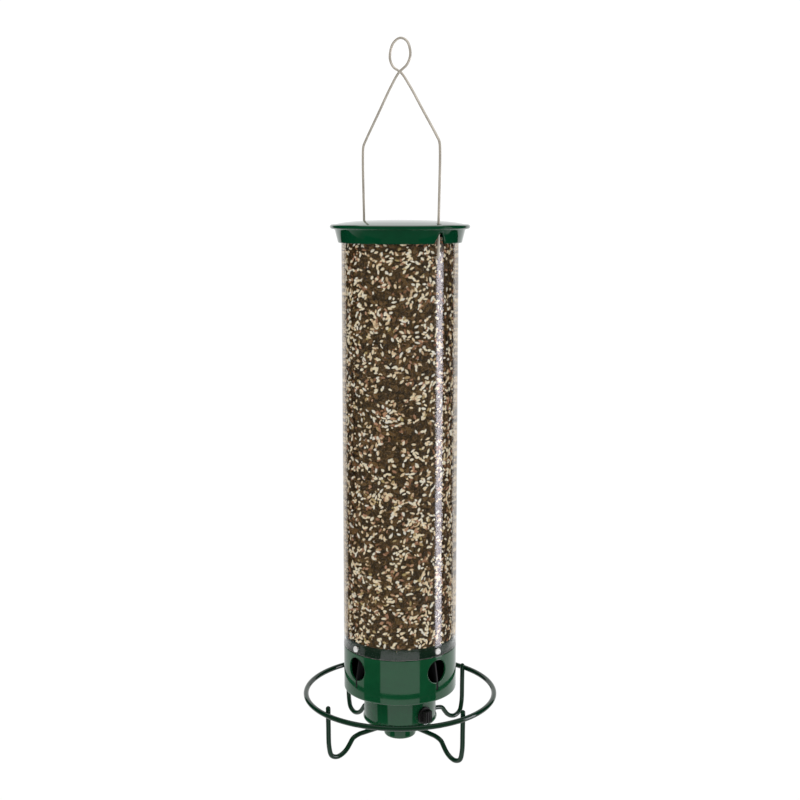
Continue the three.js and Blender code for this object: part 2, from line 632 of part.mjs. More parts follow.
const feeder = new THREE.Group();
feeder.add(hangerWire(), lid(), clearTube());
feeder.add(baseDrum(), seedFloor(), ...portBaffles(), ...collarScrews());
feeder.add(...batteryCells(), ...cellStraps());
feeder.add(motorHousing(), housingBase(), ...housingScrews(), ...coverScrews());
feeder.add(chargeJack(), socketCap());
feeder.add(chassisPlate(), motorCan(), motorShaft(), drivePinion(), outputGear(), shaftBush());
feeder.add(perchShaft(), shaftClip(), tripPlate(), returnSpring(), tripSwitch(), switchButton());
feeder.add(hubBody(), hubNut(), hubCap(), perchRing(), ...perchFeet());

export default feeder;
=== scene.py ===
"""Looks for the hanging tube bird feeder: smooth meshes, seeds, materials, light and camera.

Shapes are written in millimetres in the part's own frame and scaled to metres when a mesh is made.
"""

import json
import math
import random

import bmesh
import bpy
from mathutils import Matrix, Vector, noise


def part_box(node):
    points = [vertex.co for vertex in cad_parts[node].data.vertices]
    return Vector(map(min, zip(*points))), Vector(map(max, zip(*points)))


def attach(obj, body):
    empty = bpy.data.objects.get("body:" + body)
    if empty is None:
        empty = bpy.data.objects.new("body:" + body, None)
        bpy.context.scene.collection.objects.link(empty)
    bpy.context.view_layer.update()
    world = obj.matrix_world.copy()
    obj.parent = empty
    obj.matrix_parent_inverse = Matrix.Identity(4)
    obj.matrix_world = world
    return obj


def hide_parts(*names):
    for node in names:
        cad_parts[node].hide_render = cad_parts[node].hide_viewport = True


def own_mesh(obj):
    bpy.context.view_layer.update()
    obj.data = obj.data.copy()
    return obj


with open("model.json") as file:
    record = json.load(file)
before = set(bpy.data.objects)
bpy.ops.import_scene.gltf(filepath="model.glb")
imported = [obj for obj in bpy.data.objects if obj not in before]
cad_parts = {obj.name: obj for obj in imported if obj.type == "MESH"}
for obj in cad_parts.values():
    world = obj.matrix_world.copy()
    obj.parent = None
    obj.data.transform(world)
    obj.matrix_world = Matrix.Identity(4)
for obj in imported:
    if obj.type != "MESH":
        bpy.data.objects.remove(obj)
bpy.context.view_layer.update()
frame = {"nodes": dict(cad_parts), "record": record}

MM = 0.001
BODY = "feeder_body"
QUARTERS = range(4)


def box_mm(node):
    """Lowest and highest corner of a CAD node, in millimetres."""
    low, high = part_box(node)
    return low / MM, high / MM


# ---- Dimensions in millimetres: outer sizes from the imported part, the rest as in its drawing ------

tube_low, tube_high = box_mm("clear_tube")
TUBE_R = tube_high.x
TUBE_WALL = 1.6
TUBE_IN = TUBE_R - TUBE_WALL
TUBE_TOP = tube_high.z
TUBE_BOTTOM = tube_low.z

lid_low, lid_high = box_mm("lid")
SKIRT_BOTTOM = lid_low.z
DOME_RISE = 6.6
RIM_Z = lid_high.z - DOME_RISE
BEAD_R = 2.2
RIM_R = lid_high.y - BEAD_R
SKIRT_TOP_R = 63.6
SKIRT_BOTTOM_R = 60.4
SKIRT_TOP = RIM_Z - BEAD_R - 0.8
LID_WALL = 1.5
SLOT_HALF = 1.8
NOTCH_HALF = 6.8
NOTCH_TOP = RIM_Z - 4.9

wire_low, wire_high = box_mm("hanger_wire")
WIRE_R = wire_high.z / 2
HOOK_Z = wire_low.z + 6
LEG_R = 58.75
BEND_R = 60.2
BEND_Z = -99
CROSS_Z = -31
HANGER_TURN = -2.5

drum_low, drum_high = box_mm("base_drum")
DRUM_BOTTOM = drum_low.z
COLLAR_TOP = drum_high.z
GAP = 0.3
WALL = 2.2
PORT_R = 12.0
PORT_Z = -612.8
KEYWAY_HALF = 1.3
SLOT_BOTTOM = -632.5
FLOOR_RIM_Z = -626.6
FLOOR_RIM_IN = 51
FLOOR_THICK = 1.8
FLOOR_SLOPE = math.tan(math.radians(25))
SCREW_Z = (box_mm("collar_screw_1")[0].z + box_mm("collar_screw_1")[1].z) / 2
SCREW_HOLE_R = 1.9

HOUSING_R = 36.8
HOUSING_BOTTOM = box_mm("motor_housing")[0].z
BASE_BOTTOM = box_mm("housing_base")[0].z
SOCKET_Z = (box_mm("charge_jack")[0].z + box_mm("charge_jack")[1].z) / 2
POST_CIRCLE = 30.2
BOSS_CIRCLE = 20

ring_low, ring_high = box_mm("perch_ring")
RING_Z = (ring_low.z + ring_high.z) / 2
RING_WIRE_R = 2.6
RING_R = ring_high.x - RING_WIRE_R
FOOT_WIRE_R = 2.4
FOOT_ANGLES = [2, 92, 177.5, 268.5]
POST_R = RING_R - RING_WIRE_R - FOOT_WIRE_R - GAP
TOE_Z = RING_Z - 48.8
SPOKE_Z = -682.4
HUB_R = box_mm("hub_body")[1].x
HUB_CORNER = 2.6
HUB_TOP = box_mm("hub_body")[1].z
HUB_SPLIT = box_mm("hub_body")[0].z
HUB_BOTTOM = box_mm("hub_cap")[0].z
SPRING_LOW = box_mm("return_spring")[0].z
SPRING_HIGH = box_mm("return_spring")[1].z

SEED_TOP = TUBE_TOP - 6
SEED_BOTTOM = COLLAR_TOP - 8
SEED_BANDS = 4
DARK_SEEDS = 1400
PALE_SEEDS = 1900
TOP_SEEDS = 650
SEED_DRAW = 7

# ---- Camera, light and spring anchor, in metres and degrees ---------------------------------------

CAMERA_AZIMUTH = 49.5
CAMERA_DISTANCE = 1.25
CAMERA_Z = -0.1561
CAMERA_PITCH = 8.7
CAMERA_LENS = 57.3
SENSOR = 36.0

FLOOR_Z = -1.3
FLOOR_SIZE = 60.0

CARD_DISTANCE = 1.15
CARD_TOP = 1.3
TIER_SPLIT = -0.983
STRIP_LOW = -0.93
STRIP_TOP = -0.235
STRIP_DISTANCE = 1.0
CARD_COLOUR = (1.0, 0.92, 0.64)
STRIP_COLOUR = (0.97, 0.92, 1.0)
SKY_STRENGTH = 1.06


def facing_direction(azimuth):
    """Horizontal unit vector towards a camera at that azimuth."""
    turn = math.radians(azimuth)
    return Vector((math.sin(turn), -math.cos(turn), 0))


def make_camera():
    camera = bpy.data.objects.new("camera", bpy.data.cameras.new("camera"))
    bpy.context.scene.collection.objects.link(camera)
    camera.data.lens = CAMERA_LENS
    camera.data.sensor_width = SENSOR
    camera.data.clip_start = 0.05
    camera.data.clip_end = 200
    back = facing_direction(CAMERA_AZIMUTH)
    pitch = math.radians(CAMERA_PITCH)
    look = -back * math.cos(pitch) - Vector((0, 0, math.sin(pitch)))
    camera.location = back * CAMERA_DISTANCE + Vector((0, 0, CAMERA_Z))
    camera.rotation_euler = look.to_track_quat("-Z", "Y").to_euler()
    bpy.context.scene.camera = camera


# ---- Mesh helpers --------------------------------------------------------------------------------


def mesh_object(name, points, faces, smooth_angle=40):
    """A mesh object from points in millimetres, smooth-shaded across edges flatter than the angle."""
    mesh = bpy.data.meshes.new(name)
    mesh.from_pydata([tuple(c * MM for c in p) for p in points], [], faces)
    mesh.update()
    obj = bpy.data.objects.new(name, mesh)
    bpy.context.scene.collection.objects.link(obj)
    smooth(obj, smooth_angle)
    return obj


def smooth(obj, angle=40):
    """Smooth shading, with a crease where two faces meet at more than the angle."""
    obj.data.shade_smooth()
    obj.data.set_sharp_from_angle(angle=math.radians(angle))


def arc(r, z, radius, start, end, steps):
    """Points on an arc in the profile plane, between two angles in degrees."""
    points = []
    for i in range(steps + 1):
        angle = math.radians(start + (end - start) * i / steps)
        points.append((r + radius * math.cos(angle), z + radius * math.sin(angle)))
    return points


def polygon(radius, sides):
    """The corners of a regular polygon round the origin."""
    return arc(0, 0, radius, 0, 360, sides)[:-1]


def rounded(corners, steps=5):
    """A closed outline whose corners (x, y, radius) are softened by their radius."""
    outline = []
    count = len(corners)
    for i, corner in enumerate(corners):
        here = Vector(corner[:2])
        radius = corner[2] if len(corner) > 2 else 0
        if radius == 0:
            outline.append(tuple(here))
            continue
        before = Vector(corners[i - 1][:2]) - here
        after = Vector(corners[(i + 1) % count][:2]) - here
        reach = min(radius, before.length * 0.49, after.length * 0.49)
        first = here + before.normalized() * reach
        last = here + after.normalized() * reach
        for s in range(steps + 1):
            t = s / steps
            outline.append(tuple(first * (1 - t) ** 2 + here * (2 * t * (1 - t)) + last * t * t))
    return outline


def revolve(name, profile, segments=128, smooth_angle=40):
    """A closed profile of (radius, z) points turned round the Z axis. Points on the axis are shared."""
    points = []
    rows = []
    for r, z in profile:
        if r < 1e-6:
            rows.append([len(points)] * segments)
            points.append((0, 0, z))
        else:
            start = len(points)
            for s in range(segments):
                turn = 2 * math.pi * s / segments
                points.append((r * math.cos(turn), r * math.sin(turn), z))
            rows.append(list(range(start, start + segments)))
    faces = []
    for i, row in enumerate(rows):
        following = rows[(i + 1) % len(rows)]
        for s in range(segments):
            t = (s + 1) % segments
            loop = [row[s], row[t], following[t], following[s]]
            face = [v for k, v in enumerate(loop) if v != loop[k - 1]]
            if len(face) > 2:
                faces.append(face)
    return outward(mesh_object(name, points, faces, smooth_angle))


def outward(obj):
    """Turns every face of a closed mesh outwards."""
    work = bmesh.new()
    work.from_mesh(obj.data)
    bmesh.ops.recalc_face_normals(work, faces=work.faces)
    work.to_mesh(obj.data)
    work.free()
    return obj


def curve_points(points, steps):
    """Points on a centripetal Catmull-Rom curve through the given points, several steps for each span."""
    spots = [Vector(p) for p in points]
    ends = [spots[0] * 2 - spots[1], *spots, spots[-1] * 2 - spots[-2]]
    curve = []
    for i in range(1, len(ends) - 2):
        p0, p1, p2, p3 = ends[i - 1:i + 3]
        t1 = (p1 - p0).length ** 0.5
        t2 = t1 + (p2 - p1).length ** 0.5
        t3 = t2 + (p3 - p2).length ** 0.5
        for s in range(steps):
            t = t1 + (t2 - t1) * s / steps
            a1 = p0.lerp(p1, t / t1)
            a2 = p1.lerp(p2, (t - t1) / (t2 - t1))
            a3 = p2.lerp(p3, (t - t2) / (t3 - t2))
            b1 = a1.lerp(a2, t / t2)
            b2 = a2.lerp(a3, (t - t1) / (t3 - t1))
            curve.append(b1.lerp(b2, (t - t1) / (t2 - t1)))
    curve.append(spots[-1])
    return curve


def sweep(name, path, radius, sides=16, closed=False):
    """A round bar along a path. Open ends are domed."""
    count = len(path)
    tangents = []
    for i in range(count):
        before = path[i - 1] if closed or i else path[0]
        after = path[(i + 1) % count] if closed or i < count - 1 else path[-1]
        tangents.append((after - before).normalized())
    side = tangents[0].orthogonal().normalized()
    rings = []
    for i in range(count):
        side = (side - tangents[i] * side.dot(tangents[i])).normalized()
        rings.append((path[i], side.copy(), tangents[i].cross(side), radius))
    if not closed:
        dome = [math.radians(a) for a in (30, 60, 80)]
        first, last = rings[0], rings[-1]
        for a in dome:
            rings.insert(0, (first[0] - tangents[0] * radius * math.sin(a), first[1], first[2],
                             radius * math.cos(a)))
            rings.append((last[0] + tangents[-1] * radius * math.sin(a), last[1], last[2],
                          radius * math.cos(a)))
    points = []
    for centre, across, over, r in rings:
        for s in range(sides):
            turn = 2 * math.pi * s / sides
            points.append(centre + across * (r * math.cos(turn)) + over * (r * math.sin(turn)))
    faces = []
    row_count = len(rings)
    for i in range(row_count if closed else row_count - 1):
        low = i * sides
        high = ((i + 1) % row_count) * sides
        for s in range(sides):
            t = (s + 1) % sides
            faces.append([low + s, low + t, high + t, high + s])
    if not closed:
        faces.append(list(reversed(range(sides))))
        faces.append(list(range((row_count - 1) * sides, row_count * sides)))
    return outward(mesh_object(name, points, faces, 60))


def prism(name, outline, low, high, bevel=0.0, smooth_angle=30):
    """A flat outline of (x, y) points, extruded up from low to high, with its edges bevelled."""
    count = len(outline)
    points = [(x, y, low) for x, y in outline] + [(x, y, high) for x, y in outline]
    faces = [list(reversed(range(count))), list(range(count, 2 * count))]
    for i in range(count):
        j = (i + 1) % count
        faces.append([i, j, count + j, count + i])
    obj = outward(mesh_object(name, points, faces, smooth_angle))
    if bevel:
        modifier = obj.modifiers.new("bevel", "BEVEL")
        modifier.width = bevel * MM
        modifier.segments = 3
        modifier.limit_method = "ANGLE"
        modifier.angle_limit = math.radians(30)
        apply_modifiers(obj)
        smooth(obj, smooth_angle)
    return obj


def block(name, low, high, bevel=0.0):
    """A box between two corners."""
    outline = [(low[0], low[1]), (high[0], low[1]), (high[0], high[1]), (low[0], high[1])]
    return prism(name, outline, low[2], high[2], bevel)


def along_x(name, radius, low, high, z, sides=24):
    """A cylinder that runs out along X from low to high, at the given height."""
    rod = prism(name, polygon(radius, sides), low, high)
    transformed(rod, Matrix(((0, 0, 1, 0), (0, 1, 0, 0), (-1, 0, 0, z), (0, 0, 0, 1))))
    return outward(rod)


def apply_modifiers(obj):
    """Replaces the object's mesh with what its modifiers make of it."""
    graph = bpy.context.evaluated_depsgraph_get()
    made = bpy.data.meshes.new_from_object(obj.evaluated_get(graph))
    obj.modifiers.clear()
    old = obj.data
    obj.data = made
    bpy.data.meshes.remove(old)
    return obj


def remove(obj):
    """Deletes an object and its mesh."""
    mesh = obj.data
    bpy.data.objects.remove(obj)
    bpy.data.meshes.remove(mesh)


def combine(obj, others, operation="DIFFERENCE", smooth_angle=35):
    """Cuts the other solids away from obj, or adds them to it, and removes them."""
    for other in others:
        modifier = obj.modifiers.new("combine", "BOOLEAN")
        modifier.operation = operation
        modifier.solver = "EXACT"
        modifier.object = other
        apply_modifiers(obj)
    for other in others:
        remove(other)
    smooth(obj, smooth_angle)
    return obj


def transformed(obj, matrix):
    """Moves the mesh itself, so that the object stays at the origin. The matrix is in millimetres."""
    scaled = matrix.copy()
    scaled.translation *= MM
    obj.data.transform(scaled)
    return obj


def turned(obj, degrees, axis="Z"):
    """Turns the mesh round an axis through the origin."""
    return transformed(obj, Matrix.Rotation(math.radians(degrees), 4, axis))


def moved(obj, x=0.0, z=0.0):
    """Shifts the mesh by millimetres."""
    return transformed(obj, Matrix.Translation((x, 0, z)))


def copy_of(obj, name, degrees):
    """A copy of the object turned round the feeder's axis."""
    mesh = obj.data.copy()
    made = bpy.data.objects.new(name, mesh)
    mesh.name = name
    bpy.context.scene.collection.objects.link(made)
    return turned(made, degrees)


def copies_at(angles, obj, name):
    """Copies of the object at several angles round the axis, numbered from 1. The object is removed."""
    made = [copy_of(obj, f"{name}_{i + 1}", angle) for i, angle in enumerate(angles)]
    remove(obj)
    return made


def four_of(obj, name, first_angle=0):
    """Four copies of the object a quarter turn apart."""
    return copies_at([first_angle + 90 * q for q in QUARTERS], obj, name)


# ---- Materials -----------------------------------------------------------------------------------


class Nodes:
    """A material's node tree, with its Principled shader ready."""

    def __init__(self, name):
        self.material = bpy.data.materials.new(name)
        self.material.use_nodes = True
        self.tree = self.material.node_tree
        self.shader = self.tree.nodes["Principled BSDF"]
        self.output = self.tree.nodes["Material Output"]
        self.place = self.add("ShaderNodeTexCoord").outputs["Object"]

    def add(self, kind, **settings):
        node = self.tree.nodes.new(kind)
        for key, value in settings.items():
            setattr(node, key, value)
        return node

    def link(self, source, target):
        self.tree.links.new(source, target)

    def noise(self, scale, detail=3.0, roughness=0.5, stretch=None):
        """Noise in object space; stretch scales the coordinates per axis."""
        node = self.add("ShaderNodeTexNoise")
        node.inputs["Scale"].default_value = scale
        node.inputs["Detail"].default_value = detail
        node.inputs["Roughness"].default_value = roughness
        if stretch:
            mapping = self.add("ShaderNodeMapping")
            mapping.inputs["Scale"].default_value = stretch
            self.link(self.place, mapping.inputs["Vector"])
            self.link(mapping.outputs["Vector"], node.inputs["Vector"])
        else:
            self.link(self.place, node.inputs["Vector"])
        return node.outputs["Fac"]

    def ranged(self, source, low, high, from_low=0.3, from_high=0.7):
        node = self.add("ShaderNodeMapRange")
        node.inputs["From Min"].default_value = from_low
        node.inputs["From Max"].default_value = from_high
        node.inputs["To Min"].default_value = low
        node.inputs["To Max"].default_value = high
        self.link(source, node.inputs["Value"])
        return node.outputs["Result"]

    def ramp(self, source, stops):
        """A colour ramp from a list of (position, colour)."""
        node = self.add("ShaderNodeValToRGB")
        elements = node.color_ramp.elements
        while len(elements) < len(stops):
            elements.new(0.5)
        for element, (position, colour) in zip(elements, stops):
            element.position = position
            element.color = (*colour, 1)
        self.link(source, node.inputs["Fac"])
        return node.outputs["Color"]

    def bump(self, source, strength, distance):
        node = self.add("ShaderNodeBump")
        node.inputs["Strength"].default_value = strength
        node.inputs["Distance"].default_value = distance
        self.link(source, node.inputs["Height"])
        self.link(node.outputs["Normal"], self.shader.inputs["Normal"])

    def finish(self, colour, rough, metallic=0.0, specular=0.5):
        """Links a colour and a roughness source and sets the plain inputs."""
        self.link(colour, self.shader.inputs["Base Color"])
        self.link(rough, self.shader.inputs["Roughness"])
        self.shader.inputs["Metallic"].default_value = metallic
        self.shader.inputs["Specular IOR Level"].default_value = specular
        return self.material


def shades(colour, spread):
    """A darker and a lighter shade of a colour."""
    darker = tuple(c * (1 - spread) for c in colour)
    lighter = tuple(min(1, c * (1 + spread)) for c in colour)
    return [(0.35, darker), (0.65, lighter)]


def moulded(name, colour, rough, specular=0.5, grain=0.12, spread=0.08):
    """Moulded plastic: faint cloudiness, uneven gloss and a fine surface grain."""
    nodes = Nodes(name)
    cloud = nodes.noise(60, 4)
    tint = nodes.ramp(cloud, shades(colour, spread))
    gloss = nodes.ranged(nodes.noise(35, 5), rough * 0.8, rough * 1.3)
    nodes.bump(nodes.noise(900, 2), grain, 0.00004)
    return nodes.finish(tint, gloss, 0.0, specular)


def coated_steel(name, colour, rough):
    """Powder coat over steel wire: glossy, with the coat's soft ripple."""
    nodes = Nodes(name)
    tint = nodes.ramp(nodes.noise(120, 4), shades(colour, 0.12))
    gloss = nodes.ranged(nodes.noise(90, 4), rough * 0.75, rough * 1.4)
    nodes.bump(nodes.noise(420, 3), 0.25, 0.0001)
    return nodes.finish(tint, gloss, 0.0, 0.3)


def bare_metal(name, colour, rough, spread=0.12, metallic=1.0):
    """Turned or stamped metal, with small uneven patches of gloss. A dull plating is less metallic."""
    nodes = Nodes(name)
    tint = nodes.ramp(nodes.noise(300, 4), shades(colour, spread))
    grain = nodes.noise(2500, 3, 0.6)
    gloss = nodes.ranged(grain, rough * 0.7, rough * 1.4)
    nodes.bump(grain, 0.15, 0.00005)
    return nodes.finish(tint, gloss, metallic)


def drawn_wire(name, colour, rough, metallic):
    """Smooth drawn wire with a thin dull skin, slightly duller in places."""
    nodes = Nodes(name)
    tint = nodes.ramp(nodes.noise(70, 3), shades(colour, 0.10))
    gloss = nodes.ranged(nodes.noise(50, 3), rough * 0.85, rough * 1.15)
    nodes.bump(nodes.noise(1200, 2), 0.05, 0.00002)
    return nodes.finish(tint, gloss, metallic)


def lid_plastic(name, colour, rough):
    """The lid's moulding: fully glossy on the faces that look up, and towards the edges elsewhere."""
    nodes = Nodes(name)
    tint = nodes.ramp(nodes.noise(60, 4), shades(colour, 0.08))
    gloss = nodes.ranged(nodes.noise(35, 5), rough * 0.8, rough * 1.3)
    parts = nodes.add("ShaderNodeSeparateXYZ")
    nodes.link(nodes.add("ShaderNodeNewGeometry").outputs["Normal"], parts.inputs[0])
    upward = nodes.ranged(parts.outputs["Z"], 0.0, 0.9, 0.1, 0.8)
    facing = nodes.add("ShaderNodeLayerWeight")
    facing.inputs["Blend"].default_value = 0.5
    edge = nodes.ranged(facing.outputs["Facing"], 0.04, 0.5, 0.3, 0.65)
    larger = nodes.add("ShaderNodeMath", operation="MAXIMUM")
    nodes.link(upward, larger.inputs[0])
    nodes.link(edge, larger.inputs[1])
    material = nodes.finish(tint, gloss)
    nodes.link(nodes.ranged(parts.outputs["Z"], 1.5, 2.3, 0.5, 0.9), nodes.shader.inputs["IOR"])
    nodes.link(larger.outputs[0], nodes.shader.inputs["Specular IOR Level"])
    return material


def drum_plastic(name, colour, rough):
    """The drum's moulding: glossy below the tube's edge; above it, the collar inside the tube has painted
    shade, coloured near-black, and less gloss.
    """
    nodes = Nodes(name)
    parts = nodes.add("ShaderNodeSeparateXYZ")
    nodes.link(nodes.place, parts.inputs[0])
    edge = TUBE_BOTTOM * MM
    outside = nodes.ranged(parts.outputs["Z"], 1.0, 0.0, edge - 0.0004, edge)
    tint = nodes.add("ShaderNodeMix", data_type="RGBA")
    # Painted shade: the collar inside the tube is the same green moulding, coloured near-black here.
    tint.inputs["A"].default_value = (0.006, 0.020, 0.011, 1)
    nodes.link(outside, tint.inputs["Factor"])
    nodes.link(nodes.ramp(nodes.noise(60, 4), shades(colour, 0.08)), tint.inputs["B"])
    nodes.bump(nodes.noise(900, 2), 0.12, 0.00004)
    gloss = nodes.ranged(nodes.noise(35, 5), rough * 0.8, rough * 1.3)
    material = nodes.finish(tint.outputs["Result"], gloss)
    nodes.link(nodes.ranged(outside, 0.0, 0.5, 0.0, 1.0), nodes.shader.inputs["Specular IOR Level"])
    return material


def rubber():
    nodes = Nodes("rubber_black")
    tint = nodes.ramp(nodes.noise(250, 4), shades((0.007, 0.007, 0.007), 0.3))
    gloss = nodes.ranged(nodes.noise(140, 4), 0.4, 0.6)
    nodes.bump(nodes.noise(1500, 3), 0.3, 0.00006)
    return nodes.finish(tint, gloss, 0.0, 0.3)


def clear_plastic():
    """Clear tube wall: what is behind it shows straight through, with a gloss that grows towards
    the edges, a thin uneven veil of seed dust and a frosted cut edge at the bottom. Along its two
    outlines the wall bends the view round to the seed inside, so there it takes the seed's colours."""
    nodes = Nodes("polycarbonate_clear")
    nodes.tree.nodes.remove(nodes.shader)
    through = nodes.add("ShaderNodeBsdfTransparent")
    through.inputs["Color"].default_value = (0.985, 0.985, 0.985, 1)
    veil = nodes.add("ShaderNodeBsdfDiffuse")
    veil.inputs["Color"].default_value = (0.62, 0.6, 0.58, 1)
    dusty = nodes.add("ShaderNodeMixShader")
    parts = nodes.add("ShaderNodeSeparateXYZ")
    nodes.link(nodes.place, parts.inputs[0])
    cut = TUBE_BOTTOM * MM
    frost = nodes.ranged(parts.outputs["Z"], 0.2, 0.0, cut + 0.0002, cut + 0.0004)
    haze = nodes.add("ShaderNodeMath", operation="MAXIMUM")
    nodes.link(nodes.ranged(nodes.noise(28, 4), 0.002, 0.007), haze.inputs[0])
    nodes.link(frost, haze.inputs[1])
    nodes.link(haze.outputs[0], dusty.inputs["Fac"])
    nodes.link(through.outputs[0], dusty.inputs[1])
    nodes.link(veil.outputs[0], dusty.inputs[2])
    gloss = nodes.add("ShaderNodeBsdfGlossy")
    nodes.link(nodes.ranged(nodes.noise(45, 4), 0.03, 0.06), gloss.inputs["Roughness"])
    facing = nodes.add("ShaderNodeLayerWeight")
    facing.inputs["Blend"].default_value = 0.5
    seeds = nodes.add("ShaderNodeBsdfDiffuse")
    husks = [(0.38, (0.05, 0.03, 0.012)), (0.5, (0.30, 0.215, 0.12)), (0.62, (0.72, 0.58, 0.38))]
    # The bent view is stretched sideways, so a husk covers far more of the wall across than upwards.
    nodes.link(nodes.ramp(nodes.noise(330, 2, stretch=(0.12, 0.12, 1)), husks), seeds.inputs["Color"])
    bent = nodes.ranged(facing.outputs["Facing"], 0.0, 0.85, 0.66, 0.80)
    filled = nodes.ranged(parts.outputs["Z"], 0.0, 1.0, COLLAR_TOP * MM, (COLLAR_TOP + 3) * MM)
    below_top = nodes.ranged(parts.outputs["Z"], 1.0, 0.0, (TUBE_TOP - 9) * MM, (TUBE_TOP - 6) * MM)
    shown = bent
    for limit in (filled, below_top):
        product = nodes.add("ShaderNodeMath", operation="MULTIPLY")
        nodes.link(shown, product.inputs[0])
        nodes.link(limit, product.inputs[1])
        shown = product.outputs[0]
    outlined = nodes.add("ShaderNodeMixShader")
    nodes.link(shown, outlined.inputs["Fac"])
    nodes.link(dusty.outputs[0], outlined.inputs[1])
    nodes.link(seeds.outputs[0], outlined.inputs[2])
    power = nodes.add("ShaderNodeMath", operation="POWER")
    power.inputs[1].default_value = 5.0
    nodes.link(facing.outputs["Facing"], power.inputs[0])
    share = nodes.ranged(power.outputs[0], 0.036, 1.0, 0.0, 1.0)
    mix = nodes.add("ShaderNodeMixShader")
    nodes.link(share, mix.inputs["Fac"])
    nodes.link(outlined.outputs[0], mix.inputs[1])
    nodes.link(gloss.outputs[0], mix.inputs[2])
    nodes.link(mix.outputs[0], nodes.output.inputs["Surface"])
    return nodes.material


SEED_SHADES = [
    (0.0, (0.024, 0.012, 0.002)),
    (0.2, (0.078, 0.042, 0.011)),
    (0.4, (0.17, 0.095, 0.031)),
    (0.46, (0.32, 0.15, 0.07)),
    (0.52, (0.60, 0.33, 0.20)),
    (0.56, (0.52, 0.40, 0.16)),
    (0.62, (0.64, 0.45, 0.26)),
    (0.76, (0.94, 0.75, 0.48)),
    (0.9, (1.0, 0.90, 0.66)),
    (1.0, (1.0, 0.97, 0.86)),
]


def seed_material():
    """Dry seed: each seed has its own shade, with a mottled husk."""
    nodes = Nodes("seed_husk")
    tone = nodes.add("ShaderNodeAttribute", attribute_name="seed_tone")
    base = nodes.ramp(tone.outputs["Fac"], SEED_SHADES)
    mottle = nodes.add("ShaderNodeMix", data_type="RGBA", blend_type="MULTIPLY")
    mottle.inputs["Factor"].default_value = 0.35
    nodes.link(base, mottle.inputs["A"])
    husk = nodes.ramp(nodes.noise(900, 3), [(0.3, (0.55, 0.5, 0.45)), (0.6, (1, 1, 1))])
    nodes.link(husk, mottle.inputs["B"])
    nodes.bump(nodes.noise(1400, 2), 0.3, 0.0002)
    gloss = nodes.ranged(nodes.noise(300, 2), 0.4, 0.6)
    return nodes.finish(mottle.outputs["Result"], gloss, 0.0, 0.15)


def bulk_material():
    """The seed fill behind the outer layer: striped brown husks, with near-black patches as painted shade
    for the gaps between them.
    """
    nodes = Nodes("seed_bulk")
    cell = nodes.add("ShaderNodeTexVoronoi")
    cell.inputs["Scale"].default_value = 260
    nodes.link(nodes.place, cell.inputs["Vector"])
    # The darkest stop is painted shade standing for the gaps between seeds; the browns are husk colours.
    tint = nodes.ramp(nodes.noise(420, 5, 0.65), [
        (0.36, (0.011, 0.006, 0.001)),
        (0.53, (0.058, 0.031, 0.009)),
        (0.63, (0.16, 0.09, 0.03)),
        (0.73, (0.30, 0.20, 0.09)),
    ])
    nodes.bump(cell.outputs["Distance"], 1.0, 0.0015)
    return nodes.finish(tint, nodes.ranged(nodes.noise(80), 0.6, 0.8), 0.0, 0.1)


GREEN = (0.0045, 0.058, 0.021)

MATERIALS = {
    "green_plastic": moulded("plastic_green", GREEN, 0.075),
    "green_coated_steel": coated_steel("coated_steel_green", (0.0025, 0.022, 0.010), 0.06),
    "stainless_wire": drawn_wire("wire_stainless", (0.60, 0.55, 0.48), 0.36, 0.45),
    "zinc_steel": bare_metal("steel_zinc", (0.80, 0.80, 0.78), 0.22),
    "clear_polycarbonate": clear_plastic(),
    "black_rubber": rubber(),
    "black_plastic": moulded("plastic_black", (0.008, 0.008, 0.009), 0.45, specular=0.15),
    "white_acetal": moulded("acetal_white", (0.78, 0.76, 0.70), 0.35),
    "bronze": bare_metal("bronze_sintered", (0.55, 0.37, 0.17), 0.38),
    "cell_sleeve": moulded("sleeve_blue_grey", (0.11, 0.19, 0.28), 0.25),
    "seed_mix": seed_material(),
}
LID_GREEN = lid_plastic("plastic_green_lid", (0.0018, 0.042, 0.016), 0.06)
DRUM_GREEN = drum_plastic("plastic_green_drum", GREEN, 0.075)
FLOOR_BLACK = moulded("plastic_black_floor", (0.006, 0.006, 0.006), 0.6, specular=0.0)
SCREW_STEEL = bare_metal("steel_screw", (0.90, 0.90, 0.88), 0.35, metallic=0.35)


def dress(obj, slot_name, body, nodes=(), material=None):
    """Gives a piece its material, the slot's own unless one is given, rides it on its body, and hides the
    CAD nodes it replaces.
    """
    obj.data.materials.clear()
    obj.data.materials.append(material or MATERIALS[slot_name])
    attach(obj, body)
    if nodes:
        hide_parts(*nodes)
    return obj


# ---- Hanger, lid and tube ------------------------------------------------------------------------


def make_hanger():
    half = [
        (50.6, 0, HOOK_Z - 6), (50.6, 0, HOOK_Z - 3), (51.5, 0, HOOK_Z - 0.8), (53.6, 0, HOOK_Z),
        (56, 0, HOOK_Z), (57.9, 0, HOOK_Z + 0.8), (LEG_R, 0, HOOK_Z + 3), (LEG_R, 0, TUBE_TOP),
        (BEND_R, 0, BEND_Z - 4), (59.1, 0, BEND_Z + 1.5), (54.6, 0.1, BEND_Z + 7.5), (33.5, 0.6, -67),
        (13, 1.2, -43.5), (0, WIRE_R + 0.2, CROSS_Z), (-12.6, 1.1, -24), (-16.6, 0.6, -15.5),
        (-11.9, 0.2, -3.6),
    ]
    other_half = [(-x, -y, z) for x, y, z in reversed(half)]
    path = curve_points([*half, (0, 0, WIRE_R), *other_half], 10)
    hanger = turned(sweep("hanger", path[1:-1], WIRE_R, 16), HANGER_TURN)
    dress(hanger, "stainless_wire", BODY, ["hanger_wire"])


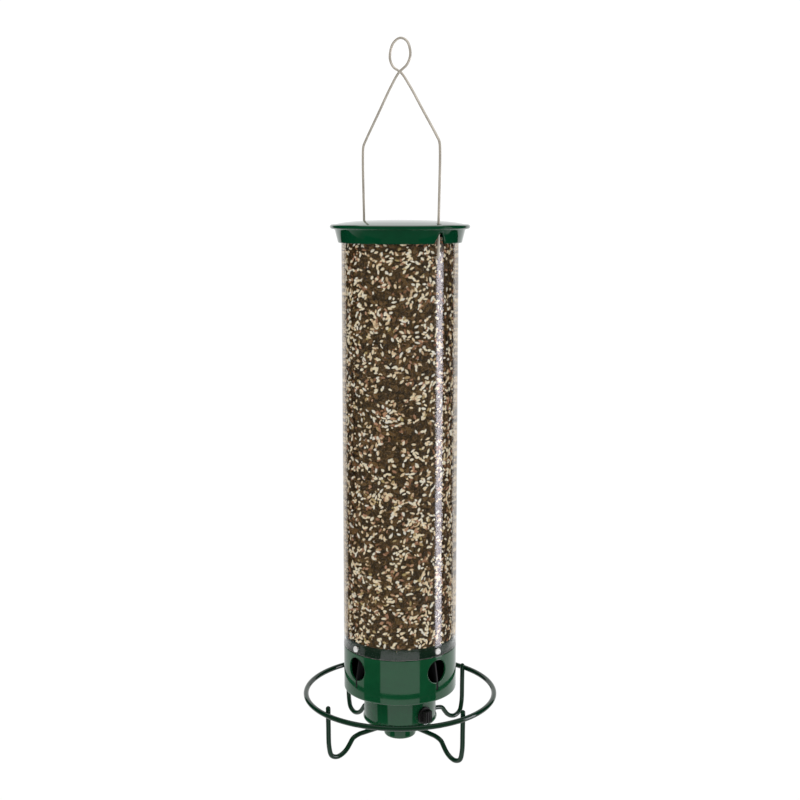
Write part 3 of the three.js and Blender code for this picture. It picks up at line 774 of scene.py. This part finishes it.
def notch_lip(shell_radius):
    """A fine rolled lip that runs up one side of a skirt notch, over its top and down the other."""
    middle = (SKIRT_BOTTOM + NOTCH_TOP) / 2
    reach = (NOTCH_HALF + SLOT_HALF) / 2
    foot = SKIRT_BOTTOM + 0.4
    outline = [
        (-NOTCH_HALF, foot), (-reach, middle), (-SLOT_HALF, NOTCH_TOP - 0.2), (0, NOTCH_TOP + 0.3),
        (SLOT_HALF, NOTCH_TOP - 0.2), (reach, middle), (NOTCH_HALF, foot),
    ]
    route = []
    for y, z in outline:
        radius = shell_radius(z)
        route.append((math.sqrt(radius ** 2 - y ** 2), y, z))
    return sweep("lip", curve_points(route, 8), 0.28, 10)


def make_lid():
    rises = ((0, DOME_RISE), (15, 6.5), (30, 6.1), (44, 5.2), (54, 4.1), (60, 3), (63.6, 2.2))
    dome = [(radius, RIM_Z + rise) for radius, rise in rises]
    bead = arc(RIM_R, RIM_Z, BEAD_R, 150, -120, 24)
    inner_r = SKIRT_BOTTOM_R - LID_WALL
    skirt = [
        (SKIRT_TOP_R, SKIRT_TOP), (SKIRT_BOTTOM_R + 0.15, SKIRT_BOTTOM + 0.6),
        (SKIRT_BOTTOM_R, SKIRT_BOTTOM + 0.2), (SKIRT_BOTTOM_R - 0.3, SKIRT_BOTTOM),
        (inner_r + 0.2, SKIRT_BOTTOM), (inner_r, SKIRT_BOTTOM + 0.2),
    ]
    inside = [
        (SKIRT_TOP_R - LID_WALL, RIM_Z - BEAD_R), (60, RIM_Z + 1.6), (54, RIM_Z + 3.2),
        (30, RIM_Z + 4.8), (0, RIM_Z + 5.4),
    ]
    shell = revolve("lid_shell", [*dome, *bead, *skirt, *inside], 192)

    def shell_radius(z):
        """The radius of the skirt's outside at a height, less a hair so that a lip sinks in."""
        share = (z - SKIRT_BOTTOM) / (SKIRT_TOP - SKIRT_BOTTOM)
        return SKIRT_BOTTOM_R + (SKIRT_TOP_R - SKIRT_BOTTOM_R) * share - 0.1

    low = SKIRT_BOTTOM - 0.5
    notch = [(-NOTCH_HALF, low), (NOTCH_HALF, low), (SLOT_HALF, NOTCH_TOP), (-SLOT_HALF, NOTCH_TOP)]
    cutters = []
    lips = []
    for side in (HANGER_TURN, 180 + HANGER_TURN):
        slot = block("slot", (57, -SLOT_HALF, RIM_Z - 3), (61.6, SLOT_HALF, RIM_Z + 8))
        wedge = prism("wedge", notch, 57, 66)
        # The outline lies in Y and Z, and the prism runs out along X.
        transformed(wedge, Matrix(((0, 0, 1, 0), (1, 0, 0, 0), (0, 1, 0, 0), (0, 0, 0, 1))))
        cutters += [turned(slot, side), turned(wedge, side)]
        lips.append(turned(notch_lip(shell_radius), side))
    combine(shell, cutters)
    lid = combine(shell, lips, "UNION", 40)
    lid.name = "lid_cover_shell"
    dress(lid, "green_plastic", "lid_cover", ["lid"], LID_GREEN)


def make_tube():
    edge = 0.4
    bands = [TUBE_BOTTOM + edge, SCREW_Z - 4, SCREW_Z + 4, HOOK_Z - 4, HOOK_Z + 4, TUBE_TOP - edge]
    outer = [(TUBE_R, z) for z in bands]
    inner = [(TUBE_IN, z) for z in reversed(bands)]
    profile = [
        (TUBE_R - edge, TUBE_BOTTOM), *outer, (TUBE_R - edge, TUBE_TOP),
        (TUBE_IN + edge, TUBE_TOP), *inner, (TUBE_IN + edge, TUBE_BOTTOM),
    ]
    tube = revolve("tube", profile, 180)
    holes = [turned(along_x("hole", SCREW_HOLE_R, 50, 62, SCREW_Z), 90 * q) for q in QUARTERS]
    for side in (HANGER_TURN, 180 + HANGER_TURN):
        holes.append(turned(along_x("hole", SCREW_HOLE_R, 50, 62, HOOK_Z), side))
    combine(tube, holes)
    dress(tube, "clear_polycarbonate", BODY, ["clear_tube"])


# ---- Seed ----------------------------------------------------------------------------------------

SEED_STATIONS = [(-0.62, 0.68), (-0.1, 1.0), (0.5, 0.78)]
SEED_SIDES = 6


def add_seed(points, faces, tones, centre, along, across, outwards, size, tone):
    """Adds one pointed seed with its three half-sizes, long axis first."""
    start = len(points)
    length, width, thick = size
    points.append(centre - along * length)
    for station, swell in SEED_STATIONS:
        for s in range(SEED_SIDES):
            turn = 2 * math.pi * s / SEED_SIDES
            points.append(centre + along * (length * station) + across * (width * swell * math.cos(turn))
                          + outwards * (thick * swell * math.sin(turn)))
    points.append(centre + along * length)
    last = len(points) - 1
    for s in range(SEED_SIDES):
        t = (s + 1) % SEED_SIDES
        faces.append([start, start + 1 + t, start + 1 + s])
        for ring in range(len(SEED_STATIONS) - 1):
            low = start + 1 + ring * SEED_SIDES
            faces.append([low + s, low + t, low + SEED_SIDES + t, low + SEED_SIDES + s])
        high = start + 1 + (len(SEED_STATIONS) - 1) * SEED_SIDES
        faces.append([high + s, high + t, last])
    tones += [tone] * (last - start + 1)


def seed_object(name, points, faces, tones):
    """One object from many seeds, with each seed's tone kept on its points for the material."""
    obj = mesh_object(name, points, faces, 180)
    attribute = obj.data.attributes.new("seed_tone", "FLOAT", "POINT")
    attribute.data.foreach_set("value", tones)
    dress(obj, "seed_mix", BODY)


def pale_tone(draw):
    """A tone for a pale seed: mostly cream and tan, a few orange, brown or green ones."""
    chance = draw.random()
    if chance < 0.20:
        return draw.uniform(0.43, 0.53)
    if chance < 0.25:
        return draw.uniform(0.54, 0.58)
    return 0.60 + 0.40 * math.sqrt(draw.random())


def wall_seeds(name, draw, low, high):
    """Seeds lying against the tube's wall between two heights, the dark ones a little deeper."""
    points, faces, tones = [], [], []
    for kind, count in (("dark", DARK_SEEDS), ("pale", PALE_SEEDS)):
        placed = 0
        while placed < count:
            turn = draw.uniform(0, 2 * math.pi)
            z = draw.uniform(low, high)
            out = Vector((math.cos(turn), math.sin(turn), 0))
            if kind == "dark":
                size = (draw.uniform(3.0, 4.4), draw.uniform(1.5, 2.1), draw.uniform(1.0, 1.4))
                depth = draw.uniform(0.2, 2.0)
                tone = draw.uniform(0.0, 0.42)
            else:
                size = (draw.uniform(1.9, 3.2), draw.uniform(1.05, 1.55), draw.uniform(0.8, 1.1))
                depth = draw.uniform(0.0, 1.5)
                tone = pale_tone(draw)
                patch = noise.noise(Vector((out.x * 2.4, out.y * 2.4, z * 0.055)))
                if patch < draw.uniform(-0.9, 0.2):
                    continue
            centre = out * (TUBE_IN - size[2] - 0.15 - depth) + Vector((0, 0, z))
            slope = draw.gauss(0, 1) * 0.9 + 0.35
            tangent = Vector((-out.y, out.x, 0))
            along = tangent * math.cos(slope) + Vector((0, 0, 1)) * math.sin(slope)
            along = (along + out * draw.uniform(-0.25, 0.1)).normalized()
            across = out.cross(along).normalized()
            add_seed(points, faces, tones, centre, along, across, along.cross(across) * -1, size, tone)
            placed += 1
    seed_object(name, points, faces, tones)


def top_seeds(draw):
    """Seeds lying on the top of the fill, seen when the lid is lifted."""
    points, faces, tones = [], [], []
    for _ in range(TOP_SEEDS):
        radius = (TUBE_IN - 4) * math.sqrt(draw.random())
        turn = draw.uniform(0, 2 * math.pi)
        dark = draw.random() < 0.55
        size = (4.0, 2.1, 1.3) if dark else (draw.uniform(2.1, 3.4), 1.2, 0.9)
        tone = draw.uniform(0.0, 0.42) if dark else pale_tone(draw)
        height = SEED_TOP - 2.5 + draw.uniform(0, 2.2)
        centre = Vector((radius * math.cos(turn), radius * math.sin(turn), height))
        heading = draw.uniform(0, 2 * math.pi)
        along = Vector((math.cos(heading), math.sin(heading), draw.uniform(-0.3, 0.3))).normalized()
        across = Vector((0, 0, 1)).cross(along).normalized()
        add_seed(points, faces, tones, centre, along, across, along.cross(across), size, tone)
    seed_object("seed_top", points, faces, tones)


def make_seeds():
    core = TUBE_IN - 1.9
    steps = 40
    wall = [(core, SEED_BOTTOM + (SEED_TOP - 3 - SEED_BOTTOM) * i / steps) for i in range(steps + 1)]
    top = SEED_TOP - 2
    fill = revolve("seed_fill", [(0, SEED_BOTTOM), *wall, (core * 0.6, top), (0, top)], 96)
    dress(fill, "seed_mix", BODY, material=bulk_material())
    draw = random.Random(SEED_DRAW)
    for band in range(SEED_BANDS):
        low = COLLAR_TOP - 3 + (SEED_TOP - COLLAR_TOP) * band / SEED_BANDS
        high = COLLAR_TOP - 3 + (SEED_TOP - COLLAR_TOP) * (band + 1) / SEED_BANDS
        wall_seeds(f"seed_layer_{band + 1}", draw, low, high)
    top_seeds(draw)


# ---- Drum, seed floor, fins and screws -----------------------------------------------------------


def make_drum():
    collar = TUBE_IN - GAP
    collar_in = collar - WALL
    inside = TUBE_R - WALL
    shoulder = TUBE_BOTTOM - 0.05
    ledge = FLOOR_RIM_Z - FLOOR_THICK - GAP
    corners = [
        (collar, COLLAR_TOP, 0.5), (collar, shoulder), (TUBE_R, shoulder, 0.2), (TUBE_R, shoulder - 0.7),
        (TUBE_R, DRUM_BOTTOM + 4.2), (TUBE_R, DRUM_BOTTOM, 3.4), (12, DRUM_BOTTOM, 0.3),
        (12, DRUM_BOTTOM + WALL), (inside, DRUM_BOTTOM + WALL), (inside, ledge - 2), (52.2, ledge - 2),
        (52.2, ledge), (inside, ledge), (inside, shoulder - 3), (collar_in, shoulder),
        (collar_in, COLLAR_TOP, 0.5),
    ]
    drum = revolve("drum", rounded(corners, 8), 256)
    cutters = []
    for q in QUARTERS:
        cutters.append(turned(along_x("port", PORT_R, 50, 62, PORT_Z, 64), 90 * q))
        keyway = block("keyway", (inside - 0.1, -KEYWAY_HALF, SLOT_BOTTOM), (62, KEYWAY_HALF, PORT_Z))
        cutters.append(turned(keyway, 90 * q))
        cutters.append(turned(along_x("screw_hole", SCREW_HOLE_R, 50, 62, SCREW_Z), 90 * q))
        plate_hole = prism("plate_hole", polygon(SCREW_HOLE_R, 24), DRUM_BOTTOM - 1, DRUM_BOTTOM + 4)
        cutters.append(turned(moved(plate_hole, x=BOSS_CIRCLE), 45 + 90 * q))
    combine(drum, cutters, smooth_angle=30)
    lips = [turned(port_lip(), 90 * q) for q in QUARTERS]
    combine(drum, lips, "UNION", 40)
    dress(drum, "green_plastic", BODY, ["base_drum"], DRUM_GREEN)


def port_lip():
    """A softened edge round a port, open below where the keyway runs down from it."""
    half_gap = math.degrees(math.asin((KEYWAY_HALF + 0.3) / PORT_R))
    path = []
    steps = 72
    for i in range(steps + 1):
        angle = math.radians(-90 + half_gap + (360 - 2 * half_gap) * i / steps)
        y = (PORT_R + 0.05) * math.cos(angle)
        z = PORT_Z + (PORT_R + 0.05) * math.sin(angle)
        path.append(Vector((math.sqrt((TUBE_R - 0.28) ** 2 - y * y), y, z)))
    return sweep("lip", path, 0.5, 12)


def make_seed_floor():
    top = FLOOR_RIM_Z + (FLOOR_RIM_IN - 7) * FLOOR_SLOPE
    under = FLOOR_RIM_Z - FLOOR_THICK
    corners = [
        (0, top + 2), (4, top + 1.5, 0.8), (7, top, 0.8), (FLOOR_RIM_IN, FLOOR_RIM_Z, 0.8),
        (54.5, FLOOR_RIM_Z, 0.3), (54.5, under, 0.3), (FLOOR_RIM_IN - 0.4, under, 0.8),
        (6.6, top - FLOOR_THICK, 0.8), (0, top - FLOOR_THICK + 1),
    ]
    dress(revolve("floor_cone", rounded(corners), 96), "black_plastic", BODY, ["seed_floor"], FLOOR_BLACK)


def make_fins():
    wall_in = TUBE_R - WALL
    foot = FLOOR_RIM_Z + 0.5
    heel_top = foot + 1.7
    top = -603.6
    back = 44
    outline = [
        (back, foot + (FLOOR_RIM_IN - back) * FLOOR_SLOPE), (FLOOR_RIM_IN, foot), (wall_in - 0.7, foot),
        (wall_in - 0.7, heel_top), (wall_in + GAP, heel_top), (wall_in + GAP, SLOT_BOTTOM + 0.5),
        (TUBE_R - 0.2, SLOT_BOTTOM + 0.5), (TUBE_R - 0.2, heel_top + 2.4, 1.5), (54.4, top - 4, 2),
        (53.4, top, 1.5), (back + 2, top, 1.5), (back, top - 2.4, 1),
    ]
    fin = prism("fin", rounded(outline), -1, 1, 0.3)
    # The outline is in X and Z, and the fin is two millimetres thick along Y.
    transformed(fin, Matrix(((1, 0, 0, 0), (0, 0, 1, 0), (0, 1, 0, 0), (0, 0, 0, 1))))
    outward(fin)
    for q, made in enumerate(four_of(fin, "fin")):
        dress(made, "black_plastic", BODY, [f"port_baffle_{q + 1}"])


def make_collar_screws():
    profile = [
        (0, 2.5), (1.9, 2.1, 0.9), (3, 1.1, 0.7), (3.2, 0, 0.2), (1.5, 0), (1.5, -6.4, 0.4), (0, -6.4),
    ]
    head = revolve("head", rounded(profile, 6), 48)
    socket = prism("socket", polygon(1.25, 6), 1.2, 4)
    combine(head, [socket], smooth_angle=30)
    turned(head, 90, "Y")
    moved(head, x=TUBE_R + GAP, z=SCREW_Z)
    for q, made in enumerate(four_of(head, "tube_screw")):
        dress(made, "zinc_steel", BODY, [f"collar_screw_{q + 1}"], SCREW_STEEL)


# ---- Motor housing -------------------------------------------------------------------------------


def make_housing():
    top = DRUM_BOTTOM - GAP
    inside = HOUSING_R - WALL
    corners = [
        (12, top), (HOUSING_R, top, 0.3), (HOUSING_R, HOUSING_BOTTOM, 0.4), (inside, HOUSING_BOTTOM, 0.3),
        (inside, top - WALL, 1), (12, top - WALL),
    ]
    cup = revolve("housing", rounded(corners), 192)
    pad = along_x("pad", 9.6, 33, HOUSING_R + 0.1, SOCKET_Z, 64)
    keep = prism("keep", polygon(HOUSING_R + 2, 96), HOUSING_BOTTOM + 0.2, top - 2)
    modifier = pad.modifiers.new("keep", "BOOLEAN")
    modifier.operation = "INTERSECT"
    modifier.solver = "EXACT"
    modifier.object = keep
    apply_modifiers(pad)
    remove(keep)
    core = prism("core", polygon(inside, 96), BASE_BOTTOM, top - 1)
    combine(pad, [core])
    combine(cup, [pad], "UNION")
    combine(cup, [along_x("bore", 4.3, 30, 40, SOCKET_Z, 32)], smooth_angle=30)
    dress(cup, "green_plastic", BODY, ["motor_housing"])

    floor = BASE_BOTTOM + 2.4
    spigot = inside - GAP
    base_profile = [
        (6.4, BASE_BOTTOM), (35.3, BASE_BOTTOM), *arc(35.3, BASE_BOTTOM + 2.5, 2.5, -75, 60, 14),
        (HOUSING_R - 0.2, HOUSING_BOTTOM - GAP), (spigot, HOUSING_BOTTOM - GAP),
        (spigot, HOUSING_BOTTOM + 2), (spigot - 2, HOUSING_BOTTOM + 2), (spigot - 2, floor), (9, floor),
        (9, floor + 2.6), (6.4, floor + 2.6),
    ]
    base = revolve("base_cover", base_profile, 192)
    holes = []
    for q in QUARTERS:
        hole = prism("hole", polygon(1.8, 24), BASE_BOTTOM - 1, BASE_BOTTOM + 6)
        holes.append(turned(moved(hole, x=POST_CIRCLE), 45 + 90 * q))
    combine(base, holes)
    dress(base, "green_plastic", BODY, ["housing_base"])


def make_cover_screws():
    seat = BASE_BOTTOM - GAP
    profile = [
        (0, seat + 0.5), (0.9, seat + 0.5), (0.9, seat), (2.8, seat, 0.2), (2.6, seat - 0.7, 0.3),
        (1.6, seat - 1.1, 0.4), (0, seat - 1.2),
    ]
    head = revolve("head", rounded(profile, 5), 40)
    combine(head, [prism("socket", polygon(1.1, 6), seat - 3, seat - 0.5)], smooth_angle=30)
    moved(head, x=POST_CIRCLE)
    for q, made in enumerate(four_of(head, "base_screw", 45)):
        dress(made, "zinc_steel", BODY, [f"cover_screw_{q + 1}"])


def make_socket_cap():
    seat = HOUSING_R + 0.1 + GAP
    flange = revolve("flange", rounded([(0, 0), (8.6, 0, 0.3), (8.6, 2, 0.8), (0, 2.1)], 6), 72)
    turned(flange, 90, "Y")
    moved(flange, x=seat)
    grip_outline = [(seat + 1, -4), (seat + 8, -4, 0.4)]
    for y in (-2.4, 0, 2.4):
        grip_outline += [(seat + 8, y - 0.55, 0.25), (seat + 6.6, y - 0.45), (seat + 6.6, y + 0.45),
                         (seat + 8, y + 0.55, 0.25)]
    grip_outline += [(seat + 8, 4, 0.4), (seat + 1, 4)]
    grip = prism("grip", rounded(grip_outline, 3), -6, 6, 0.35)
    stem = turned(revolve("stem", rounded([(0, -8), (2.4, -8, 0.4), (2.4, 1), (0, 1)]), 32), 90, "Y")
    moved(stem, x=seat)
    cap = combine(flange, [grip, stem], "UNION", 35)
    cap.name = "plug"
    moved(cap, z=SOCKET_Z)
    dress(cap, "black_rubber", "cap", ["socket_cap"])


# ---- Perch ---------------------------------------------------------------------------------------


def make_hub():
    disc = [(0, HUB_TOP), (HUB_R, HUB_TOP, 1.0), (HUB_R, HUB_SPLIT, 0.3), (0, HUB_SPLIT)]
    body = revolve("hub", rounded(disc, 6), 128)
    holes = []
    for angle in FOOT_ANGLES:
        holes.append(turned(along_x("hole", FOOT_WIRE_R + GAP, 7.6, 20, SPOKE_Z), angle))
    bore = prism("bore", polygon(4 + GAP, 32), HUB_SPLIT - 1, HUB_TOP + 1)
    combine(body, [*holes, bore])
    dress(body, "green_plastic", "perch", ["hub_body"])
    high = HUB_SPLIT - GAP
    profile = [
        (0, HUB_BOTTOM), *arc(HUB_R - HUB_CORNER, HUB_BOTTOM + HUB_CORNER, HUB_CORNER, -90, 0, 14),
        (HUB_R, high - 0.2), (HUB_R - 0.2, high), (HUB_R - WALL, high), (HUB_R - WALL, HUB_BOTTOM + 3),
        (HUB_R - WALL - 1, HUB_BOTTOM + 2), (0, HUB_BOTTOM + 2),
    ]
    dress(revolve("hub_underside", profile, 128), "green_plastic", "perch", ["hub_cap"])


def make_ring():
    path = [Vector((x, y, RING_Z)) for x, y in polygon(RING_R, 240)]
    ring = sweep("ring", path, RING_WIRE_R, 24, closed=True)
    dress(ring, "green_coated_steel", "perch", ["perch_ring"])


def make_feet():
    route = [
        (POST_R, 0, RING_Z + 6.7 - FOOT_WIRE_R), (POST_R - 0.2, 0, RING_Z - 14),
        (POST_R - 1, 0, TOE_Z + 12), (87.2, 0, TOE_Z + 3.2), (80.6, 0, TOE_Z), (74, 0, TOE_Z + 1.2),
        (68.6, 0, TOE_Z + 4.6), (64.6, 0, TOE_Z + 9.2), (60.5, 0, SPOKE_Z - 2.4), (53, 0, SPOKE_Z - 0.2),
        (45, 0, SPOKE_Z), (30, 0, SPOKE_Z), (9, 0, SPOKE_Z),
    ]
    foot = sweep("foot", curve_points(route, 10), FOOT_WIRE_R, 20)
    for i, made in enumerate(copies_at(FOOT_ANGLES, foot, "foot")):
        dress(made, "green_coated_steel", "perch", [f"perch_foot_{i + 1}"])


def make_spring():
    """The return spring, drawn as a still coil between the heights of its CAD part; the real spring
    shortens as the perch is pressed down.
    """
    wire_r = 0.45
    coil_r = 6.4
    turns = 4
    steps = 32 * turns
    low = SPRING_LOW + wire_r
    high = SPRING_HIGH - wire_r
    path = []
    for i in range(steps + 1):
        angle = 2 * math.pi * turns * i / steps
        height = low + (high - low) * i / steps
        path.append(Vector((coil_r * math.cos(angle), coil_r * math.sin(angle), height)))
    spring = sweep("coil", path, wire_r * 0.95, 10)
    dress(spring, "zinc_steel", BODY, ["return_spring"])
    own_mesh(spring)


def dress_cad_nodes():
    """The inner pieces keep their CAD shape and get the materials of their slots."""
    slots = {row["node"]: row["material_slot"] for row in frame["record"]["subparts"]}
    for name, node in frame["nodes"].items():
        if node.hide_render:
            continue
        node.data.materials.clear()
        node.data.materials.append(MATERIALS[slots[name]])


# ---- Stage ---------------------------------------------------------------------------------------


def glow(name, radiance, colour):
    """A plain light-giving material for a studio card."""
    material = bpy.data.materials.new(name)
    material.use_nodes = True
    nodes = material.node_tree.nodes
    nodes.remove(nodes["Principled BSDF"])
    emission = nodes.new("ShaderNodeEmission")
    emission.inputs["Color"].default_value = (*colour, 1)
    emission.inputs["Strength"].default_value = radiance
    material.node_tree.links.new(emission.outputs[0], nodes["Material Output"].inputs["Surface"])
    return material


def card(name, start, end, low, high, distance, radiance, colour=(1, 1, 1)):
    """An upright curved studio card round the object, seen only in reflections. Its sides are given as
    azimuths from the camera's, in degrees, to the right."""
    steps = 24
    points = []
    for i in range(steps + 1):
        out = facing_direction(CAMERA_AZIMUTH + start + (end - start) * i / steps) * (distance / MM)
        points.append((out.x, out.y, low / MM))
        points.append((out.x, out.y, high / MM))
    faces = [[2 * i, 2 * i + 2, 2 * i + 3, 2 * i + 1] for i in range(steps)]
    obj = mesh_object(name, points, faces)
    obj.data.materials.append(glow(name, radiance, colour))
    obj.visible_camera = False
    obj.visible_diffuse = False
    obj.visible_transmission = False
    obj.visible_shadow = False


def make_stage():
    half = FLOOR_SIZE / 2 / MM
    z = FLOOR_Z / MM
    corners = [(-half, -half, z), (half, -half, z), (half, half, z), (-half, half, z)]
    floor = mesh_object("floor", corners, [[0, 1, 2, 3]])
    nodes = Nodes("floor_white")
    tint = nodes.ramp(nodes.noise(1.5, 2), [(0.3, (0.955, 0.955, 0.955)), (0.7, (0.97, 0.97, 0.97))])
    floor.data.materials.append(nodes.finish(tint, nodes.ranged(nodes.noise(3), 0.8, 0.95), 0.0, 0.0))

    world = bpy.data.worlds.new("studio")
    bpy.context.scene.world = world
    world.use_nodes = True
    background = world.node_tree.nodes["Background"]
    background.inputs["Color"].default_value = (1, 1, 1, 1)
    background.inputs["Strength"].default_value = SKY_STRENGTH

    # The upper tier of cards is what the tube and the lid reflect, the lower tier what the drum does.
    # Each card has a side, a start and an end angle, and a brightness.
    upper = (("front", -95, 73, 0.17), ("left", -140, -95, 0.0), ("right", 92, 135, 0.0))
    for side, start, end, radiance in upper:
        card(f"upper_{side}", start, end, TIER_SPLIT, CARD_TOP, CARD_DISTANCE, radiance, CARD_COLOUR)
    card("strip_right", 76, 92, STRIP_LOW, STRIP_TOP, STRIP_DISTANCE, 7.9, STRIP_COLOUR)
    lower = (("left", -77, -39.5, 0.0), ("right", 39.5, 77, 0.0), ("fill", -165, -77, 0.75))
    for side, start, end, radiance in lower:
        card(f"lower_{side}", start, end, FLOOR_Z + 0.01, TIER_SPLIT, CARD_DISTANCE, radiance)

    bpy.context.scene.view_settings.view_transform = "Standard"


make_camera()
make_hanger()
make_lid()
make_tube()
make_drum()
make_seed_floor()
make_fins()
make_collar_screws()
make_housing()
make_cover_screws()
make_socket_cap()
make_hub()
make_ring()
make_feet()
make_spring()
make_seeds()
dress_cad_nodes()
make_stage()
